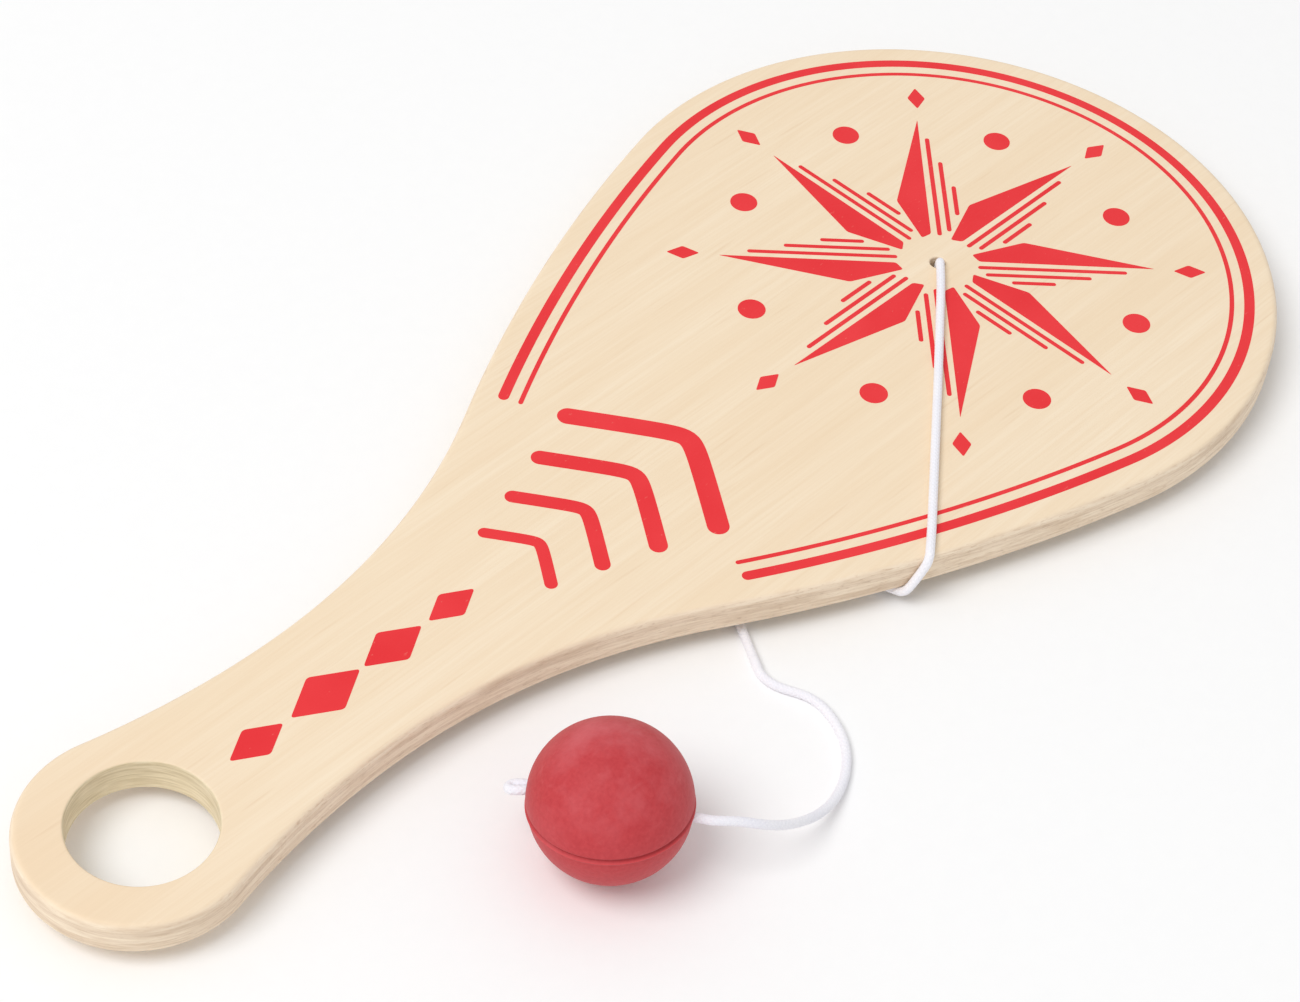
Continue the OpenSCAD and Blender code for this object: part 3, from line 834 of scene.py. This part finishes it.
# Red screen print: thin closed plates on the face
design = {
    "deep": 0.03,
    "sunk": 0.01,
    "points": 8,
    "tip": 40.0,
    "valley": 17.5,
    "bare": 6.5,  # plain wood about the cord hole
    "gap": 0.55,  # between a point's solid half and its hatched half
    "heelAhead": 1.2,
    "heelShare": 0.36,
    "heelGap": 0.2,
    "tipShare": 0.6,
    "valleyAhead": 0.3,
    "corner": 0.5,
    "hatch": 1.9,
    "hatchHalf": 0.42,
    "hatchFirst": 0.55,  # as a share of the hatch
    "hatchLast": 0.8,
    "hatchStart": (0.8, 1.4),  # off the bare wood and off the next point
    "hatchEnd": 1.6,
    "dot": 2.5,
    "dotAt": 37.5,
    "dotSides": 40,
    "gem": (46.4, 3.0, 1.7),  # place, half length and half width
    "gemCorner": 0.4,
    "lineFrom": -14.0,  # along the paddle
    "lines": ((5.2, 0.95), (8.4, 0.42)),  # inset and half width
    "lineLead": 12,
    # Each chevron has the place of its tip, its reach to either side and its half width
    "chevrons": ((6.0, 19.0, 1.9), (-7.0, 15.0, 1.6), (-19.0, 11.5, 1.35), (-30.0, 8.6, 1.1)),
    "chevronSteep": 0.72,
    "chevronBlunt": 0.012,
    "chevronSteps": 91,
    # Each lozenge has its place, its half length and its half width
    "lozenges": ((-50.0, 5.2, 3.0), (-63.0, 6.4, 3.8), (-77.5, 7.4, 4.4), (-92.0, 5.6, 3.3)),
    "lozengeCorner": 0.7,
    "red": (tint(233, 46, 52), tint(239, 57, 62)),
    "worn": tint(245, 150, 135),
    "bump": 0.03 * mm,
    "shine": {"Specular IOR Level": 0.3},
}
inkTop, inkFoot = faceZ + design["deep"], faceZ - design["sunk"]


def inkPlate(outline):
    # A plate over a star-shaped outline: a fan on top and below, and a wall round it
    outline = np.asarray(outline, float)
    count = len(outline)
    heart = np.repeat(outline.mean(axis=0)[None], count, axis=0)
    layers = ((heart, inkTop), (outline, inkTop), (outline, inkFoot), (heart, inkFoot))
    return np.vstack([atHeight(flat, height) for flat, height in layers]), gridFaces(4, count, True)


def softCorners(corners, cut, steps=7, most=0.45):
    # Each corner becomes a small curve between two points on its sides: corner + toBefore * (1 - t) squared
    # + toAfter * t squared
    corners = np.asarray(corners, float)
    before, after = np.roll(corners, 1, axis=0) - corners, np.roll(corners, -1, axis=0) - corners
    toBefore = before * np.minimum(cut / np.linalg.norm(before, axis=1), most)[:, None]
    toAfter = after * np.minimum(cut / np.linalg.norm(after, axis=1), most)[:, None]
    t = np.linspace(0, 1, steps)[None, :, None]
    run = corners[:, None] + toBefore[:, None] * (1 - t) ** 2 + toAfter[:, None] * t**2
    return run.reshape(-1, 2)


def diamond(place, long, wide, cut):
    # A plate with four corners, at half its length and half its width from its place on the middle line
    corners = [(place - long, 0), (place, -wide), (place + long, 0), (place, wide)]
    return softCorners(corners, cut)


def inkRibbon(line, half):
    # A ribbon along a line, its half width narrowed to a round at both ends by the circle's formula
    line = np.asarray(line, float)
    way = unit(np.gradient(line, axis=0))
    aside = np.column_stack([-way[:, 1], way[:, 0]])
    gone = np.concatenate([[0], np.cumsum(np.linalg.norm(np.diff(line, axis=0), axis=1))])
    toEnd = np.clip(np.minimum(gone, gone[-1] - gone) / half, 0, 1)
    wide = (half * np.sqrt(1 - (1 - toEnd) ** 2))[:, None]
    left, right = line + wide * aside, line - wide * aside
    layers = ((left, inkTop), (right, inkTop), (right, inkFoot), (left, inkFoot))
    rows = np.stack([atHeight(flat, height) for flat, height in layers], axis=1)
    return rows.reshape(-1, 3), gridFaces(len(line), 4, True)


def straight(start, end, count=41):
    # Points along a straight line that crowd towards its two ends, so that the ends come out round
    share = (1 - np.cos(np.linspace(0, math.pi, count)))[:, None] / 2
    return np.asarray(start, float) * (1 - share) + np.asarray(end, float) * share


def spun(points, turn):
    # Points turned about the middle of the blade
    cosine, sine = math.cos(turn), math.sin(turn)
    return np.asarray(points, float) @ np.array([[cosine, sine], [-sine, cosine]]) + blade.middle


def inkMaterial():
    # Slightly uneven red with rubbed streaks along the grain
    kit = newMaterial("redInk")
    worn = kit.noise((500, 1400, 1), 1.0, 3.0, 0.65)
    cloud = kit.noise((1, 1, 1), 70.0, 2.0)
    colour = kit.blendColour(kit.ramp(cloud, 0.3, 0.7), *design["red"])
    colour = kit.blendColour(kit.ramp(worn, 0.66, 0.78, 0.0, 0.7), colour, design["worn"])
    rough = kit.ramp(worn, 0.3, 0.7, 0.45, 0.62)
    return kit.finishWith(colour, rough, worn, design["bump"], **design["shine"])


def starPlates():
    # One point of the star, repeated round the cord hole: a solid half, a hatched half, a gem and a dot
    half = math.pi / design["points"]
    bare, tip, gap = design["bare"], design["tip"], design["gap"]
    valleyX, valleyY = design["valley"] * math.cos(half), design["valley"] * math.sin(half)
    solid = softCorners([
        (bare + design["heelAhead"], gap), (tip, gap * design["tipShare"]),
        (valleyX + design["valleyAhead"], valleyY - gap),
        (bare, valleyY * design["heelShare"] - gap * design["heelGap"]),
    ], design["corner"])
    spot = np.linspace(0, 2 * math.pi, design["dotSides"], endpoint=False)
    dot = design["dot"] * np.column_stack([np.cos(spot), np.sin(spot)]) + [design["dotAt"], 0.0]
    gem = diamond(*design["gem"], design["gemCorner"])
    hatch = design["hatch"]
    fromBare, fromNext = design["hatchStart"]
    plates = []
    for turn in 2 * half * np.arange(design["points"]):
        plates.append(inkPlate(spun(solid, turn)))
        for low in np.arange(hatch * design["hatchFirst"], valleyY - design["hatchLast"], hatch):
            start = max(bare + fromBare, low / math.tan(half) + fromNext)
            end = tip - low * (tip - valleyX) / valleyY - design["hatchEnd"]
            plates.append(inkRibbon(spun(straight((start, -low), (end, -low)), turn), design["hatchHalf"]))
        plates.append(inkPlate(spun(gem, turn)))
        plates.append(inkPlate(spun(dot, turn + half)))
    return plates


def edgeLines():
    # Two lines that follow the blade's outline at a constant inset
    begin = int(np.argmin(np.abs(halfEdge[:, 0] - design["lineFrom"])))
    lead = design["lineLead"]
    plates = []
    for inset, wide in design["lines"]:
        line = (loopEdge - inset * loopOut)[begin : len(loopEdge) - begin + 1]
        run = [straight(line[0], line[1], lead)[:-1], line[1:-1], straight(line[-2], line[-1], lead)[1:]]
        plates.append(inkRibbon(np.vstack(run), wide))
    return plates


def chevronPlates():
    # A blunt bend across the neck: the way back from the tip grows as the root of across squared + blunt
    across = -np.cos(np.linspace(0, math.pi, design["chevronSteps"]))
    blunt = design["chevronBlunt"]
    back = design["chevronSteep"] * (np.sqrt(across**2 + blunt) - math.sqrt(blunt))
    plates = []
    for tip, reach, half in design["chevrons"]:
        plates.append(inkRibbon(np.column_stack([tip - reach * back, reach * across]), half))
    return plates


ink = inkMaterial()
lozengePlates = [inkPlate(diamond(*lozenge, design["lozengeCorner"])) for lozenge in design["lozenges"]]
prints = (
    ("bladePrint", starPlates() + edgeLines()),
    ("neckPrint", chevronPlates()),
    ("handlePrint", lozengePlates),
)
for name, plates in prints:
    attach(newPiece(name, plates, ink, smooth=False, weld=1e-7), "paddle")
print("print laid")

# Pale floor and soft studio light, in metres
studio = {
    "floorHalf": 3.0,
    "floorPale": (0.97, 0.97, 0.97, 1.0),
    "floorWhite": (0.99, 0.99, 0.99, 1.0),
    "floorGrain": 300.0,
    "floorRough": 0.9,
    "floorBump": 0.01 * mm,
    "floorShine": {"Specular IOR Level": 0.1},
    "ambient": 0.62,  # the sky's light on the toy
    "backdrop": 1.0,  # the sky behind it
    "key": 0.42,
    "place": (-1.35, 0.3, 2.2),
    "aim": (0.0, 0.0, 0.0),
    "size": 1.6,
}


def floorMaterial():
    # Almost white with a faint grain
    kit = newMaterial("studioFloor")
    grain = kit.noise((1, 1, 1), studio["floorGrain"], 2.0)
    colour = kit.blendColour(grain, studio["floorPale"], studio["floorWhite"])
    return kit.finishWith(colour, studio["floorRough"], grain, studio["floorBump"], **studio["floorShine"])


half = studio["floorHalf"]
floorMesh = bpy.data.meshes.new("studioFloor")
floorCorners = [(-half, -half, 0), (half, -half, 0), (half, half, 0), (-half, half, 0)]
floorMesh.from_pydata(floorCorners, [], [(0, 1, 2, 3)])
studioFloor = bpy.data.objects.new("studioFloor", floorMesh)
scene.collection.objects.link(studioFloor)
floorMesh.materials.append(floorMaterial())

world = bpy.data.worlds.new("studioWorld")
world.use_nodes = True
scene.world = world
make = nodeMaker(world.node_tree)
ray = make("ShaderNodeLightPath", {}).outputs
seen = make("ShaderNodeMath", {0: ray["Is Camera Ray"], 1: ray["Is Transmission Ray"]}, operation="MAXIMUM")
share = {"Value": seen.outputs[0], "To Min": studio["ambient"], "To Max": studio["backdrop"]}
strength = make("ShaderNodeMapRange", share).outputs[0]
sky = make("ShaderNodeBackground", {"Color": (1.0, 1.0, 1.0, 1.0), "Strength": strength})
make("ShaderNodeOutputWorld", {"Surface": sky.outputs[0]})

lamp = bpy.data.lights.new("softKey", "AREA")
lamp.shape = "DISK"
lamp.size = studio["size"]
throw = Vector(studio["aim"]) - Vector(studio["place"])
slant = abs(throw.normalized().z)
lamp.energy = studio["key"] * math.pi**2 * throw.length_squared / slant  # the same light at any distance
key = bpy.data.objects.new("softKey", lamp)
scene.collection.objects.link(key)
key.matrix_world = Matrix.Translation(studio["place"]) @ throw.to_track_quat("-Z", "Y").to_matrix().to_4x4()
scene.view_settings.view_transform = "Standard"
print("lit")
